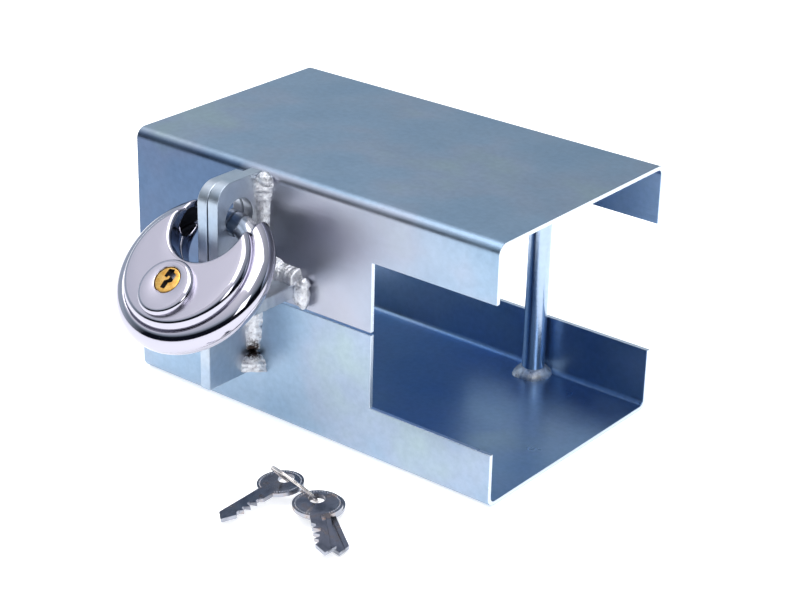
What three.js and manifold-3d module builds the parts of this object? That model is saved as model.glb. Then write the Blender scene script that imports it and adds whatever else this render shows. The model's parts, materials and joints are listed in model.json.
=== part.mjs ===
// Trailer coupling lock box: two bent sheet-steel channels hinged along the back close round a
// coupling head, and a disc padlock hung through two lugs holds them shut. Millimetres, +Z up.
// Origin: middle of the lower channel's underside. +X runs to the open end, -Y is the lock side.
import * as THREE from 'three';
import { mergeVertices } from 'three/addons/utils/BufferGeometryUtils.js';
import Module from 'manifold-3d';

const wasm = await Module();
wasm.setup();
const { degToRad } = THREE.MathUtils;

// Box
const LENGTH = 185.2;
const WIDTH = 112;
const HEIGHT = 110;
const SHEET = 2;
const BEND = 4.5;
const GAP = 0.3;
const FRONT_SPLIT = { lower: 55.1, upper: 56.1 };
const BACK_SPLIT = { lower: 83.7, upper: 84.25 };
const WINDOW = { frontX: 33.5, backX: 0, lowerFront: 23.4, lowerBack: 27.35, upperFront: 85.8 };

// Lugs, gusset and the hole that both lugs share
const LUG = {
  thick: 5.35, seam: -28.1, out: 26, top: 109.5, corner: 8.5, holeY: -69.5, holeZ: 93.6, hole: 7.8,
};
const LOWER_LUG = { foot: 20, top: 108.4, standOff: 3.4 };
const GUSSET = { right: -2, out: 28, under: 62, top: 67.5 };

// Locking bar
const BAR = { x: 40.5, y: 47.2, radius: 4.9, top: 107.4 };

// Hinge at the back
const HINGE = { y: 60.3, z: 82, pin: 2, bore: 2.3, knuckle: 4, from: -86, to: -10, knuckles: 5, leaf: 2 };

// Padlock, in its own frame: x to the right, y up the disc, z out of its face
const DISC = { radius: 34.5, face: 9.5, back: 7.8, flat: 25.1, groove: 28, wall: 1.8, tilt: 49 };
const RING = 26.3;
const SHACKLE = { radius: 4.8, tail: -38, tip: 89.2 };
const NOTCH = { radius: 17, y: 18.5 };
const GUARD = { y: -12.2, base: 12.2, top: 10.2, height: 12.4, spigot: 9.6 };
const PLUG = { y: -9.5, radius: 5.5, top: 12.2, bottom: -3.4, neck: 2.2, tail: -5.7 };
const PINS = { count: 4, first: 5.9, pitch: 2.6, radius: 0.85, bore: 1.15 };
const CORE = { radius: 20.9, bottom: -3.4, top: 7.4 };

// Keys and their ring
const KEY = { bowWide: 19.5, bowLong: 17.5, blade: 7.6, length: 41, thick: 1.6, hole: 3.3, holeBack: 3.2 };
const KEY_RING = { radius: 11, wire: 0.9, x: 34.6, y: -101.7, lean: 132, heading: -12 };

function steel(color, roughness, metalness = 0.9) {
  return new THREE.MeshStandardMaterial({ color, roughness, metalness });
}
const zinc = () => steel(0x8fa3bd, 0.42);
const weldMetal = () => steel(0xc9cbd6, 0.5);
const polished = () => steel(0xd9d9e2, 0.12, 1);
const brass = () => steel(0xd9a441, 0.3);

function toSolid(geometry) {
  const bare = geometry.clone();
  bare.deleteAttribute('normal');
  bare.deleteAttribute('uv');
  const merged = mergeVertices(bare, 1e-4);
  return new wasm.Manifold(new wasm.Mesh({
    numProp: 3,
    vertProperties: new Float32Array(merged.attributes.position.array),
    triVerts: new Uint32Array(merged.index.array),
  }));
}

function toGeometry(solid) {
  const mesh = solid.getMesh();
  const geometry = new THREE.BufferGeometry();
  geometry.setAttribute('position', new THREE.BufferAttribute(new Float32Array(mesh.vertProperties), 3));
  geometry.setIndex(new THREE.BufferAttribute(new Uint32Array(mesh.triVerts), 1));
  return geometry;
}

function cut(body, ...tools) {
  return toGeometry(tools.reduce((left, tool) => left.subtract(toSolid(tool)), toSolid(body)));
}

const join = (...pieces) => toGeometry(pieces.map(toSolid).reduce((all, piece) => all.add(piece)));
const common = (a, b) => toGeometry(toSolid(a).intersect(toSolid(b)));

function box(x0, x1, y0, y1, z0, z1) {
  const geometry = new THREE.BoxGeometry(x1 - x0, y1 - y0, z1 - z0);
  return geometry.translate((x0 + x1) / 2, (y0 + y1) / 2, (z0 + z1) / 2);
}

// A cylinder standing on (x, y, z0), or along X or Y when axis says so
function rod(radius, from, to, { x = 0, y = 0, axis = 'z', sides = 24 } = {}) {
  const geometry = new THREE.CylinderGeometry(radius, radius, to - from, sides);
  if (axis === 'z') return geometry.rotateX(Math.PI / 2).translate(x, y, (from + to) / 2);
  if (axis === 'y') return geometry.translate(x, (from + to) / 2, y);
  return geometry.rotateZ(-Math.PI / 2).translate((from + to) / 2, x, y);
}

// A turned piece: profile of [radius, height] points round the Z axis
function turned(profile, sides = 48) {
  const points = profile.map(([radius, height]) => new THREE.Vector2(radius, height));
  return new THREE.LatheGeometry(points, sides).rotateX(Math.PI / 2);
}

function plate(shape, z0, z1, curveSegments = 16) {
  const settings = { depth: z1 - z0, bevelEnabled: false, curveSegments };
  return new THREE.ExtrudeGeometry(shape, settings).translate(0, 0, z0);
}

// A section drawn in the Y-Z plane and carried along X
const YZ_ALONG_X = new THREE.Matrix4().set(0, 0, 1, 0, 1, 0, 0, 0, 0, 1, 0, 0, 0, 0, 0, 1);
function alongX(shape, x0, x1, curveSegments = 8) {
  return plate(shape, x0, x1, curveSegments).applyMatrix4(YZ_ALONG_X);
}

function polygon(points) {
  const shape = new THREE.Shape();
  points.forEach(([x, y], index) => (index ? shape.lineTo(x, y) : shape.moveTo(x, y)));
  shape.closePath();
  return shape;
}

function roundHole(shape, x, y, radius) {
  const hole = new THREE.Path();
  hole.absarc(x, y, radius, 0, 2 * Math.PI, true);
  shape.holes.push(hole);
  return shape;
}

// A rod bent along a curve
function bentRod(curve, radius, steps, sides) {
  const section = new THREE.Shape();
  section.absarc(0, 0, radius, 0, 2 * Math.PI, false);
  const settings = { steps, extrudePath: curve, bevelEnabled: false, curveSegments: sides };
  return new THREE.ExtrudeGeometry(section, settings);
}

function add(group, name, geometry, material) {
  const mesh = new THREE.Mesh(geometry, material);
  mesh.name = name;
  group.add(mesh);
  return mesh;
}

const object = new THREE.Group();
const lower = new THREE.Group();
const upper = new THREE.Group();
const padlock = new THREE.Group();
const keys = new THREE.Group();
object.add(lower, upper, padlock, keys);

// A bent channel, opening upwards: flat web with one flange each side of its own height
function channel(frontHeight, backHeight) {
  const half = WIDTH / 2;
  const inner = BEND - SHEET;
  const section = new THREE.Shape();
  section.moveTo(-half, frontHeight);
  section.lineTo(-half, BEND);
  section.absarc(-half + BEND, BEND, BEND, Math.PI, 1.5 * Math.PI, false);
  section.absarc(half - BEND, BEND, BEND, 1.5 * Math.PI, 2 * Math.PI, false);
  section.lineTo(half, backHeight);
  section.lineTo(half - SHEET, backHeight);
  section.absarc(half - BEND, BEND, inner, 0, -0.5 * Math.PI, true);
  section.absarc(-half + BEND, BEND, inner, 1.5 * Math.PI, Math.PI, true);
  section.lineTo(-half + SHEET, frontHeight);
  section.closePath();
  return alongX(section, -LENGTH / 2, LENGTH / 2);
}

const FAR = 200;
const frontWindow = (z0, z1) => box(WINDOW.frontX, FAR, -FAR, 0, z0, z1);
const lowerShell = cut(
  channel(FRONT_SPLIT.lower, BACK_SPLIT.lower),
  frontWindow(WINDOW.lowerFront, FAR),
  box(WINDOW.backX, FAR, 0, FAR, WINDOW.lowerBack, FAR),
);
add(lower, 'lower_shell', lowerShell, zinc());

// The upper channel is the same bend rolled over about the box's length, so its flanges swap sides
const upperBlank = channel(HEIGHT - BACK_SPLIT.upper, HEIGHT - FRONT_SPLIT.upper);
const rolledOver = upperBlank.rotateX(Math.PI).translate(0, 0, HEIGHT);
add(upper, 'upper_shell', cut(rolledOver, frontWindow(0, WINDOW.upperFront)), zinc());

// Lugs: thick plates welded square to the front, side by side, with one padlock hole through both
const face = -WIDTH / 2;
function lugOutline(foot, top, freeFrom, standOff) {
  const outer = face - LUG.out;
  const shape = new THREE.Shape();
  shape.moveTo(face - GAP, foot);
  shape.lineTo(face - GAP, freeFrom);
  shape.lineTo(face - standOff, freeFrom);
  shape.lineTo(face - standOff, top);
  shape.absarc(outer + LUG.corner, top - LUG.corner, LUG.corner, 0.5 * Math.PI, Math.PI, false);
  shape.lineTo(outer, foot);
  shape.closePath();
  return roundHole(shape, LUG.holeY, LUG.holeZ, LUG.hole);
}
const lowerLug = lugOutline(LOWER_LUG.foot, LOWER_LUG.top, FRONT_SPLIT.lower - GAP, LOWER_LUG.standOff);
const lowerLugX = [LUG.seam - GAP / 2 - LUG.thick, LUG.seam - GAP / 2];
add(lower, 'lower_lug', alongX(lowerLug, ...lowerLugX, 14), zinc());
const upperLug = lugOutline(GUSSET.under, LUG.top, LUG.top - 1, GAP);
const upperLugX = [LUG.seam + GAP / 2, LUG.seam + GAP / 2 + LUG.thick];
add(upper, 'upper_lug', alongX(upperLug, ...upperLugX, 14), zinc());

const gussetX = [upperLugX[1] + GAP, GUSSET.right];
const gusset = box(...gussetX, face - GUSSET.out, face - GAP, GUSSET.under, GUSSET.top);
add(upper, 'gusset_plate', gusset, zinc());

// Fillet welds: three-cornered beads with a bulging front, lying in the corner they fill
function beadSection(x, y, alongFirst, alongSecond) {
  const shape = new THREE.Shape();
  shape.moveTo(x, y);
  shape.lineTo(x + alongFirst, y);
  shape.quadraticCurveTo(x + alongFirst * 0.8, y + alongSecond * 0.8, x, y + alongSecond);
  shape.closePath();
  return shape;
}
const upright = (shape, z0, z1) => plate(shape, z0, z1, 5);
const BEAD = 5;
const lugWeldX = upperLugX[1] + GAP;
const upperLugWeld = beadSection(lugWeldX, face - GAP, BEAD + 1, -BEAD);
add(upper, 'upper_lug_weld', upright(upperLugWeld, GUSSET.top + 1, LUG.top - 1), weldMetal());
const gussetWeld = beadSection(face - GAP, GUSSET.top + GAP, -BEAD, BEAD + 1);
const gussetWeldX = [lugWeldX + BEAD + 1 + GAP, GUSSET.right];
const gussetBead = alongX(gussetWeld, ...gussetWeldX, 5);
add(upper, 'gusset_weld', gussetBead, weldMetal());

// The gusset's end blob wraps its free corner
const blobShape = new THREE.SphereGeometry(5.2, 16, 10).scale(0.8, 1, 1.35);
const blob = blobShape.translate(GUSSET.right + 2, face, GUSSET.under + 1);
const blobSpace = box(GUSSET.right + GAP, FAR, -FAR, face - GAP, 0, FAR);
add(upper, 'gusset_weld_end', common(blob, blobSpace), weldMetal());

const lowerWeldX = lowerLugX[1] + GAP;
const lowerWeldTop = FRONT_SPLIT.lower - 2 * GAP;
const WELD_FOOT = 29;
const lowerBead = beadSection(lowerWeldX, face - GAP, BEAD, -BEAD);
const footBead = beadSection(lowerWeldX, face - GAP, BEAD + 2.5, -BEAD - 0.5);
add(lower, 'lower_lug_weld', upright(lowerBead, WELD_FOOT + GAP, lowerWeldTop), weldMetal());
add(lower, 'lower_lug_weld_foot', upright(footBead, LOWER_LUG.foot, WELD_FOOT), weldMetal());

// Locking bar, stood on the web inside the back flange and ringed by its weld
const bar = rod(BAR.radius, SHEET + GAP, BAR.top, { x: BAR.x, y: BAR.y, sides: 28 });
add(lower, 'locking_bar', bar, zinc());
const COLLAR = { reach: 8.6, height: 3.8 };
const collarBore = BAR.radius + GAP;
const collarFloor = SHEET + GAP;
const collarProfile = [
  [collarBore, collarFloor], [COLLAR.reach, collarFloor], [COLLAR.reach - 0.6, collarFloor + 1.6],
  [collarBore + 1, collarFloor + COLLAR.height], [collarBore, collarFloor + COLLAR.height], [collarBore, collarFloor],
];
const collar = turned(collarProfile, 28).translate(BAR.x, BAR.y, 0);
const collarSpace = box(-FAR, FAR, -FAR, WIDTH / 2 - BEND - GAP, 0, FAR);
add(lower, 'locking_bar_weld', common(collar, collarSpace), weldMetal());

// Hinge: two leaves of rolled strip whose knuckles alternate on one pin
const KNUCKLE_GAP = 0.4;
const knucklePitch = (HINGE.to - HINGE.from + KNUCKLE_GAP) / HINGE.knuckles;
const leafY = [WIDTH / 2 + GAP, WIDTH / 2 + GAP + HINGE.leaf];
function hingeLeaf(side, reach) {
  const clear = HINGE.knuckle + GAP;
  const span = (...reaches) => reaches.map((reach) => HINGE.z + side * reach).sort((a, b) => a - b);
  const pieces = [box(HINGE.from, HINGE.to, ...leafY, ...span(clear, reach))];
  const bores = [];
  for (let i = side > 0 ? 1 : 0; i < HINGE.knuckles; i += 2) {
    const x0 = HINGE.from + i * knucklePitch;
    const x1 = x0 + knucklePitch - KNUCKLE_GAP;
    pieces.push(box(x0, x1, ...leafY, ...span(0, clear + 1)));
    pieces.push(rod(HINGE.knuckle, x0, x1, { x: HINGE.y, y: HINGE.z, axis: 'x' }));
    bores.push(rod(HINGE.bore, x0 - 1, x1 + 1, { x: HINGE.y, y: HINGE.z, axis: 'x', sides: 20 }));
  }
  return cut(join(...pieces), ...bores);
}
const LEAF_REACH = 22;
add(lower, 'hinge_leaf_lower', hingeLeaf(-1, LEAF_REACH), zinc());
add(upper, 'hinge_leaf_upper', hingeLeaf(1, LEAF_REACH), zinc());
const pin = rod(HINGE.pin, HINGE.from - 1, HINGE.to + 1, { x: HINGE.y, y: HINGE.z, axis: 'x', sides: 20 });
add(lower, 'hinge_pin', pin, steel(0x9aa0a8, 0.3));
const leafWeldY = leafY[0];
const upperLeafBead = beadSection(leafWeldY, HINGE.z + LEAF_REACH + GAP, 3, 3);
const lowerLeafBead = beadSection(leafWeldY, HINGE.z - LEAF_REACH - GAP, 3, -3);
add(upper, 'hinge_weld_upper', alongX(upperLeafBead, HINGE.from + 2, HINGE.to - 2, 4), weldMetal());
add(lower, 'hinge_weld_lower', alongX(lowerLeafBead, HINGE.from + 2, HINGE.to - 2, 4), weldMetal());

// Padlock frame: the disc leans against the lugs with its shackle resting in their hole
const lean = degToRad(90 - DISC.tilt);
const restZ = LUG.holeZ - (LUG.hole - SHACKLE.radius) + 0.7;
padlock.position.set(LUG.seam, LUG.holeY - RING * Math.cos(lean), restZ - RING * Math.sin(lean));
padlock.rotation.x = lean;

// Half shells: pressed discs with a rolled rim, a groove and a raised flat face
function rimProfile(faceHeight, wall) {
  const rim = { across: DISC.radius - DISC.groove - wall, up: 6.1 - wall * 0.7 };
  const points = [];
  for (let i = 0; i <= 5; i += 1) {
    const turn = (i / 5) * 1.4;
    points.push([DISC.groove + rim.across * Math.cos(turn), rim.up * Math.sin(turn)]);
  }
  const bead = { across: DISC.groove - DISC.flat - wall * 0.2, from: rim.up - 0.2, to: faceHeight - wall };
  for (let i = 0; i <= 3; i += 1) {
    const turn = (i / 3) * 0.5 * Math.PI;
    const height = bead.from + (bead.to - bead.from) * Math.sin(turn);
    points.push([DISC.flat + bead.across * Math.cos(turn) - wall * 0.3, height]);
  }
  return points;
}
const SEAM = GAP / 2;
function halfShell(faceHeight) {
  const rim = rimProfile(faceHeight, 0).slice(1);
  const outside = turned([[0, SEAM], [DISC.radius, SEAM], ...rim, [0, faceHeight]]);
  const roof = faceHeight - DISC.wall;
  const reach = DISC.radius - DISC.wall;
  const inside = turned([[0, -1], [reach, -1], ...rimProfile(faceHeight, DISC.wall), [0, roof]]);
  const cavity = toSolid(inside).subtract(toSolid(notchPrism(NOTCH.radius + DISC.wall)));
  const tunnel = new THREE.TorusGeometry(RING, SHACKLE.radius + 0.35, 12, 48);
  const shell = toSolid(outside).subtract(toSolid(notchPrism(NOTCH.radius))).subtract(cavity);
  return toGeometry(shell.subtract(toSolid(tunnel)));
}
function notchPrism(radius) {
  const shape = new THREE.Shape();
  shape.moveTo(radius, 60);
  shape.lineTo(-radius, 60);
  shape.lineTo(-radius, NOTCH.y);
  shape.absarc(0, NOTCH.y, radius, Math.PI, 2 * Math.PI, false);
  shape.closePath();
  return plate(shape, -30, 30, 14);
}
const guardHole = rod(GUARD.spigot + GAP, 0, 30, { y: GUARD.y, sides: 40 });
add(padlock, 'padlock_front_shell', cut(halfShell(DISC.face), guardHole), polished());
add(padlock, 'padlock_back_shell', halfShell(DISC.back).rotateY(Math.PI), polished());

// Guard: the turned boss round the keyway, its spigot let into the face
const guardSeat = DISC.face + GAP;
const spigotEnd = CORE.top + GAP;
const guardProfile = [
  [0, spigotEnd], [GUARD.spigot, spigotEnd], [GUARD.spigot, guardSeat], [GUARD.base, guardSeat],
];
for (let i = 0; i <= 4; i += 1) {
  const turn = (i / 4) * 0.5 * Math.PI;
  const height = guardSeat + (GUARD.height - guardSeat) * Math.sin(turn);
  guardProfile.push([GUARD.top + (GUARD.base - GUARD.top) * Math.cos(turn), height]);
}
guardProfile.push([0, GUARD.height]);
const plugBore = rod(PLUG.radius + GAP, -20, 30, { y: PLUG.y, sides: 36 });
add(padlock, 'keyway_guard', cut(turned(guardProfile, 36).translate(0, GUARD.y, 0), plugBore), polished());

// Lock core: the casting that carries the plug and the driver pins, shaped to fit inside the ring
const corePiece = rod(CORE.radius, CORE.bottom, CORE.top, { sides: 48 });
const CORE_CREST = 7;
const chamberEnd = -CORE.radius + 0.6;
const pinHeights = Array.from({ length: PINS.count }, (_, i) => PINS.first - i * PINS.pitch);
const pinWays = (from, to) => pinHeights.map((y) => rod(PINS.bore, from, to, { y, axis: 'y', sides: 14 }));
const chambers = pinWays(chamberEnd, PLUG.y);
const crest = box(-FAR, FAR, CORE_CREST, FAR, -FAR, FAR);
const core = cut(corePiece, notchPrism(NOTCH.radius + DISC.wall + GAP), crest, plugBore, ...chambers);
add(padlock, 'lock_core', core, steel(0x9b9ca0, 0.5));

// Pin stacks: drivers and springs stay in the core, key pins turn with the plug
class Coil extends THREE.Curve {
  constructor(x, y0, y1, z, radius, turns) {
    super();
    Object.assign(this, { x, y0, y1, z, radius, turns });
  }

  getPoint(t, target = new THREE.Vector3()) {
    const turn = 2 * Math.PI * this.turns * t;
    const y = this.y0 + (this.y1 - this.y0) * t;
    return target.set(this.x + this.radius * Math.cos(turn), y, this.z + this.radius * Math.sin(turn));
  }
}
const shear = PLUG.y - PLUG.radius;
const DRIVER = { gap: 0.25, length: 2 };
const SPRING = { wire: 0.16, radius: 0.62, turns: 4 };
pinHeights.forEach((height, i) => {
  const driverTop = shear - DRIVER.gap;
  const driverEnd = driverTop - DRIVER.length;
  const driver = rod(PINS.radius, driverEnd, driverTop, { y: height, axis: 'y', sides: 14 });
  add(padlock, `driver_pin_${i + 1}`, driver, brass());
  const coil = new Coil(0, driverEnd - 0.4, chamberEnd + 0.4, height, SPRING.radius, SPRING.turns);
  add(padlock, `driver_spring_${i + 1}`, bentRod(coil, SPRING.wire, 30, 2), steel(0xb8bcc4, 0.3));
});

// Shackle: a round bar bent to the ring; it turns in the rim to cross the notch
class RingArc extends THREE.Curve {
  constructor(radius, from, to) {
    super();
    Object.assign(this, { radius, from, to });
  }

  getPoint(t, target = new THREE.Vector3()) {
    const angle = degToRad(this.from + (this.to - this.from) * t);
    return target.set(this.radius * Math.cos(angle), this.radius * Math.sin(angle), 0);
  }
}
const bow = new RingArc(RING, SHACKLE.tail, SHACKLE.tip);
add(padlock, 'shackle', bentRod(bow, SHACKLE.radius, 20, 8), polished());

// Plug with a two-step keyway, pin bores, a necked tail, its clip and its cam
const plugTurn = { y: PLUG.y, sides: 36 };
const plugBody = rod(PLUG.radius, PLUG.bottom, PLUG.top, plugTurn);
const plugTail = rod(PLUG.neck, PLUG.tail, PLUG.bottom + 1, plugTurn);
const plugBarrel = join(plugBody, plugTail);
const KEYWAY = { end: -2.6, wide: 1.7 };
const keywayTop = box(-0.3, KEYWAY.wide - 0.3, PLUG.y - 0.6, PLUG.y + 4, KEYWAY.end, FAR);
const keywayFoot = box(-KEYWAY.wide + 0.4, 0.4, PLUG.y - 3.6, PLUG.y, KEYWAY.end, FAR);
const plug = cut(plugBarrel, keywayTop, keywayFoot, ...pinWays(shear - 1, PLUG.y - 3));
add(padlock, 'lock_plug', plug, brass());
pinHeights.forEach((height, i) => {
  const keyPin = rod(PINS.radius, shear + 0.05, PLUG.y - 3.7, { y: height, axis: 'y', sides: 14 });
  add(padlock, `key_pin_${i + 1}`, keyPin, brass());
});
const CLIP = { top: -3.6, bottom: -4.2, outer: 4.4 };
const clipRing = rod(CLIP.outer, CLIP.bottom, CLIP.top, plugTurn);
const clipBore = rod(PLUG.neck + GAP, -20, 20, plugTurn);
const clipMouth = box(-1.6, 1.6, PLUG.y, PLUG.y + 10, -20, 20);
add(padlock, 'plug_clip', cut(clipRing, clipBore, clipMouth), steel(0x70747c, 0.4));
const CAM = { top: -4.5, bottom: -5.6, hub: 4, reach: 10.8, width: 3 };
const camHub = rod(CAM.hub, CAM.bottom, CAM.top, plugTurn);
const camArm = box(-CAM.width / 2, CAM.width / 2, PLUG.y - CAM.reach, PLUG.y, CAM.bottom, CAM.top);
add(padlock, 'plug_cam', cut(join(camHub, camArm), clipBore), steel(0x8d9098, 0.4));

// Keys: one stamped blank with a round bow, a hole for the ring and a row of cuts along the blade
function keyBlank() {
  const bow = new THREE.Shape();
  bow.absellipse(0, 0, KEY.bowLong / 2, KEY.bowWide / 2, 0, 2 * Math.PI, false);
  const tip = KEY.length - KEY.bowLong / 2;
  const half = KEY.blade / 2;
  const outline = [[KEY.bowLong / 2 - 2, half], [KEY.bowLong / 2 - 2, -half]];
  const cuts = 4;
  const first = KEY.bowLong / 2 + 4;
  const pitch = (tip - 6 - first) / cuts;
  for (let i = 0; i < cuts; i += 1) {
    const depth = 1.6 + 0.7 * ((i * 2) % 3);
    const start = first + i * pitch;
    outline.push([start, -half], [start + pitch * 0.3, -half + depth], [start + pitch * 0.7, -half + depth]);
  }
  outline.push([tip - 5.5, -half], [tip, -half + 3], [tip - 3.5, half]);
  const blade = polygon(outline.reverse());
  const solid = join(plate(bow, 0, KEY.thick, 36), plate(blade, 0, KEY.thick));
  const GROOVE = { half: 0.8, deep: 0.7 };
  const groove = box(KEY.bowLong / 2, FAR, 0.4, 0.4 + 2 * GROOVE.half, KEY.thick - GROOVE.deep, FAR);
  const hole = rod(KEY.hole, -5, 5, { x: -KEY.holeBack, sides: 20 });
  return cut(solid, groove, hole).translate(KEY.holeBack, 0, -KEY.thick / 2);
}

// The ring leans, so it goes down through each bow and out beneath it
const ringHeight = KEY_RING.radius * Math.sin(degToRad(KEY_RING.lean)) + KEY_RING.wire + 0.1;
const wire = new THREE.TorusGeometry(KEY_RING.radius, KEY_RING.wire, 8, 40);
const keyRing = add(keys, 'key_ring', wire, steel(0xc8c2c0, 0.2, 1));
keyRing.position.set(KEY_RING.x, KEY_RING.y, ringHeight);
keyRing.rotation.set(degToRad(KEY_RING.lean), 0, degToRad(KEY_RING.heading), 'ZYX');
keyRing.updateMatrix();
function onRing(degrees) {
  const angle = degToRad(degrees);
  const { radius } = KEY_RING;
  const flat = new THREE.Vector3(radius * Math.cos(angle), radius * Math.sin(angle), 0);
  return flat.applyMatrix4(keyRing.matrix);
}

// Each key hangs by its hole at a place on the ring, its blade pointing along a heading and dipping
const placedKeys = [
  { name: 'key_1', ring: 207, heading: -94, dip: 5, roll: 186 },
  { name: 'key_2', ring: 338, heading: -43, dip: 3.6, roll: 0 },
  { name: 'key_3', ring: 319, heading: -35, dip: 3.6, roll: 0 },
];
const blank = keyBlank();
for (const { name, ring, heading, dip, roll } of placedKeys) {
  const key = add(keys, name, blank.clone(), steel(0x8a8f9a, 0.32));
  key.position.copy(onRing(ring));
  key.rotation.set(degToRad(roll), degToRad(dip), degToRad(heading), 'ZYX');
}

export default object;
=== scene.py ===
import json
import math

import bmesh
import bpy
from mathutils import Matrix, Vector, noise


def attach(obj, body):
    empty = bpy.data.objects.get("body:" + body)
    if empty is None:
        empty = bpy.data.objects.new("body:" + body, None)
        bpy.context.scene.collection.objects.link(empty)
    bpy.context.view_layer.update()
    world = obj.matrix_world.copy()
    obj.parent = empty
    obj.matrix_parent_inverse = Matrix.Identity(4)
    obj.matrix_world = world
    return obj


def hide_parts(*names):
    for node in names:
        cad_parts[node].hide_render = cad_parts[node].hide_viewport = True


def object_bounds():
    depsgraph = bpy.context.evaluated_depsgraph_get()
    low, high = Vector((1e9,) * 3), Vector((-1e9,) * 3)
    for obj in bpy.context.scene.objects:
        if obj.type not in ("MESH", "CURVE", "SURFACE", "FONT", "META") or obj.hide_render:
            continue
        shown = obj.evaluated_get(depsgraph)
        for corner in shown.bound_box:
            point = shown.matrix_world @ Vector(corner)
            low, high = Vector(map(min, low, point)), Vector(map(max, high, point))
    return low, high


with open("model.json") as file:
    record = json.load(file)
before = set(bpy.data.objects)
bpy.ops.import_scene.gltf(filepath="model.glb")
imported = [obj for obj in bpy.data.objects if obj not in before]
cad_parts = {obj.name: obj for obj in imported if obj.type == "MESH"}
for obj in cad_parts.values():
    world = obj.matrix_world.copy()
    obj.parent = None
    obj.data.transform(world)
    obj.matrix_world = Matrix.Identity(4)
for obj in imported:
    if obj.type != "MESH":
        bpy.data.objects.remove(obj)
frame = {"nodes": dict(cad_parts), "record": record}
cad_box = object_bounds()


# The stand-point: a long lens a little above the box, looking at the lock side and the open end.
focal_length = 91.86
right, up, back = (0.78, 0.6254, 0.022), (-0.2766, 0.3129, 0.9086), (0.5614, -0.7148, 0.4171)
lens = bpy.data.cameras.new("camera")
lens.lens, lens.sensor_width, lens.clip_start = focal_length, 36, 0.05
camera = bpy.data.objects.new("camera", lens)
turn = Matrix((right, up, back)).transposed().to_4x4()
camera.matrix_world = Matrix.Translation((0.48332, -0.61087, 0.39848)) @ turn
bpy.context.collection.objects.link(camera)
bpy.context.scene.camera = camera
bpy.context.scene.view_settings.view_transform = "Standard"


# Materials are built from nodes. A colour is an sRGB hex value, and "stops" fills a colour ramp.
def linear(hex_colour):
    channels = [int(hex_colour[i:i + 2], 16) / 255 for i in (1, 3, 5)]
    return [c / 12.92 if c <= 0.04045 else ((c + 0.055) / 1.055) ** 2.4 for c in channels] + [1]


def add_node(tree, kind, settings=(), **links):
    node = tree.nodes.new("ShaderNode" + kind)
    for name, value in dict(settings).items():
        if name == "stops":
            ramp = node.color_ramp.elements
            while len(ramp) < len(value):
                ramp.new(0.5)
            for stop, (place, colour) in zip(ramp, value):
                stop.position, stop.color = place, linear(colour)
        elif not isinstance(name, int) and hasattr(node, name):
            setattr(node, name, value)
        else:
            socket = node.inputs[name]
            socket.default_value = linear(value) if isinstance(value, str) else value
    for name, source in links.items():
        place = int(name[1:]) if name[1:].isdigit() else name.replace("_", " ")
        tree.links.new(source, node.inputs[place])
    return node


def new_material(name):
    material = bpy.data.materials.new(name)
    material.use_nodes = True
    tree = material.node_tree
    tree.nodes.clear()
    surface = add_node(tree, "BsdfPrincipled")
    add_node(tree, "OutputMaterial", Surface=surface.outputs["BSDF"])
    place = add_node(tree, "TexCoord").outputs["Object"]
    return material, tree, surface, place


# The floor: a matt white light table, lit from below, so that hardly any shadow gathers on it.
paper, tree, surface, place = new_material("white light table")
surface.inputs["Base Color"].default_value = linear("#fbfbfb")
surface.inputs["Roughness"].default_value = 0.9
surface.inputs["Emission Color"].default_value = linear("#ffffff")
surface.inputs["Emission Strength"].default_value = 0.6
sweep = bmesh.new()
bmesh.ops.create_grid(sweep, x_segments=1, y_segments=1, size=6)
floor_mesh = bpy.data.meshes.new("floor")
sweep.to_mesh(floor_mesh)
floor = bpy.data.objects.new("floor", floor_mesh)
floor_mesh.materials.append(paper)
bpy.context.collection.objects.link(floor)
floor.location.z = cad_box[0][2] - 0.0003

# The light: a pale grey room with a big soft box overhead and one low on the right. The room is
# dark near its horizon on the camera's side, which draws the edges of the polished padlock.
world = bpy.data.worlds.new("pale room")
bpy.context.scene.world = world
world.use_nodes = True
tree = world.node_tree
tree.nodes.clear()
direction = add_node(tree, "TexCoord").outputs["Generated"]
height = add_node(tree, "SeparateXYZ", Vector=direction).outputs["Z"]
room = add_node(tree, "ValToRGB", {"stops": [
    (0.0, "#bcc6d0"), (0.42, "#b0c0cb"), (0.62, "#d4d8e0"), (0.85, "#f6f6fa")]}, Fac=height)
towards = add_node(tree, "VectorMath", {"operation": "DOT_PRODUCT", 1: (0.6, -0.8, 0.0)}, _0=direction)
front = add_node(tree, "MapRange", {"From Min": -0.25, "From Max": 0.15}, Value=towards.outputs["Value"])
low = add_node(tree, "MapRange", {"From Min": 0.56, "From Max": 0.36}, Value=height)
shadow = add_node(tree, "Math", {"operation": "MULTIPLY"}, _0=front.outputs["Result"],
                  _1=low.outputs["Result"])
walls = add_node(tree, "Mix", {"data_type": "RGBA", 7: "#11151f"}, _0=shadow.outputs["Value"],
                 _6=room.outputs["Color"])
aside = add_node(tree, "VectorMath", {"operation": "DOT_PRODUCT", 1: (0.75, 0.66, 0.0)}, _0=direction)
corner = add_node(tree, "MapRange", {"From Min": -0.25, "From Max": 0.5, "To Max": 0.75},
                  Value=aside.outputs["Value"])
sides = add_node(tree, "Mix", {"data_type": "RGBA", "blend_type": "MULTIPLY", 7: "#9fa8ac"},
                 _0=corner.outputs["Result"], _6=walls.outputs[2])
glow = add_node(tree, "Background", {"Strength": 1.25}, Color=sides.outputs[2])
add_node(tree, "OutputWorld", Surface=glow.outputs["Background"])


def soft_lamp(name, place, target, width, depth, power, colour):
    light = bpy.data.lights.new(name, "AREA")
    light.shape, light.size, light.size_y = "RECTANGLE", width, depth
    light.energy, light.color = power, linear(colour)[:3]
    lamp = bpy.data.objects.new(name, light)
    aim = (Vector(target) - Vector(place)).to_track_quat("-Z", "Y").to_matrix().to_4x4()
    lamp.matrix_world = Matrix.Translation(place) @ aim
    bpy.context.collection.objects.link(lamp)
    return lamp


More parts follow.
